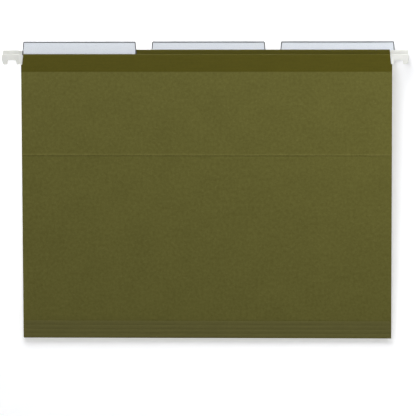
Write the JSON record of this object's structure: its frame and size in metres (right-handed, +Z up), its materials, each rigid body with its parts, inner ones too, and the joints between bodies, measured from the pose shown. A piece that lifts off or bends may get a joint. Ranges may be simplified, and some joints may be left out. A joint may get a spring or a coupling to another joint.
{
  "type": "hanging file folder",
  "caption": "Letter-size hanging file folder: a scored paper pocket whose hemmed flaps hang on hooked steel rods, with clear index tabs and paper inserts.",
  "frame": {"origin": "midway between the rail seats of the back rod's two hooks, on the rod's middle plane", "axes": "+X along the width to the right, -Y towards the front flap, +Z up"},
  "size_m": [0.3274, 0.0139, 0.2403],
  "materials": {
    "folder_paper": "uncoated olive green outside, brown inside",
    "reinforcing_tape": "dark olive, slightly satin",
    "rod_steel": "bright rolled strip",
    "hook_plastic": "off-white, moulded",
    "clear_plastic": "clear, glossy",
    "insert_paper": "white, uncoated"
  },
  "bodies": {
    "back": {"back_panel": "folder_paper", "back_top_tape": "reinforcing_tape", "back_bottom_tape": "reinforcing_tape", "back_rod": "rod_steel", "back_left_hook": "hook_plastic", "back_right_hook": "hook_plastic", "left_tab": "clear_plastic", "centre_tab": "clear_plastic", "right_tab": "clear_plastic"},
    "back_strip": {"back_bottom_strip": "folder_paper", "back_strip_tape": "reinforcing_tape"},
    "front_strip": {"front_bottom_strip": "folder_paper", "front_strip_tape": "reinforcing_tape"},
    "front_foot": {"front_lower_strip": "folder_paper", "front_lower_tape": "reinforcing_tape"},
    "front": {"front_panel": "folder_paper", "front_top_tape": "reinforcing_tape", "front_bottom_tape": "reinforcing_tape", "front_rod": "rod_steel", "front_left_hook": "hook_plastic", "front_right_hook": "hook_plastic"},
    "left_label": {"left_insert": "insert_paper"},
    "centre_label": {"centre_insert": "insert_paper"},
    "right_label": {"right_insert": "insert_paper"}
  },
  "joints": [
    {"name": "bottom_spread", "type": "slide", "parent": "back", "child": "front_foot", "axis": [0, -1, 0], "range_m": [0, 0.007]},
    {"name": "back_strip_fold", "type": "hinge", "parent": "back", "child": "back_strip", "pos_m": [0, 0.00045, -0.2218], "axis": [1, 0, 0], "range_deg": [-28.12, 0]},
    {"name": "front_strip_fold", "type": "hinge", "parent": "front_foot", "child": "front_strip", "pos_m": [0, 0.00009, -0.22181], "axis": [1, 0, 0], "range_deg": [0, 28.12]},
    {"name": "front_open", "type": "hinge", "parent": "front_foot", "child": "front", "pos_m": [0, -0.00052, -0.21834], "axis": [1, 0, 0], "range_deg": [0, 176]},
    {"name": "left_insert_slide", "type": "slide", "parent": "back", "child": "left_label", "axis": [-1, 0, 0], "range_m": [0, 0.085]},
    {"name": "centre_insert_slide", "type": "slide", "parent": "back", "child": "centre_label", "axis": [-1, 0, 0], "range_m": [0, 0.085]},
    {"name": "right_insert_slide", "type": "slide", "parent": "back", "child": "right_label", "axis": [1, 0, 0], "range_m": [0, 0.085]}
  ],
  "couplings": [
    {"joint": "back_strip_fold", "follows": "bottom_spread", "rad_per_m": -70},
    {"joint": "front_strip_fold", "follows": "bottom_spread", "rad_per_m": 70}
  ]
}
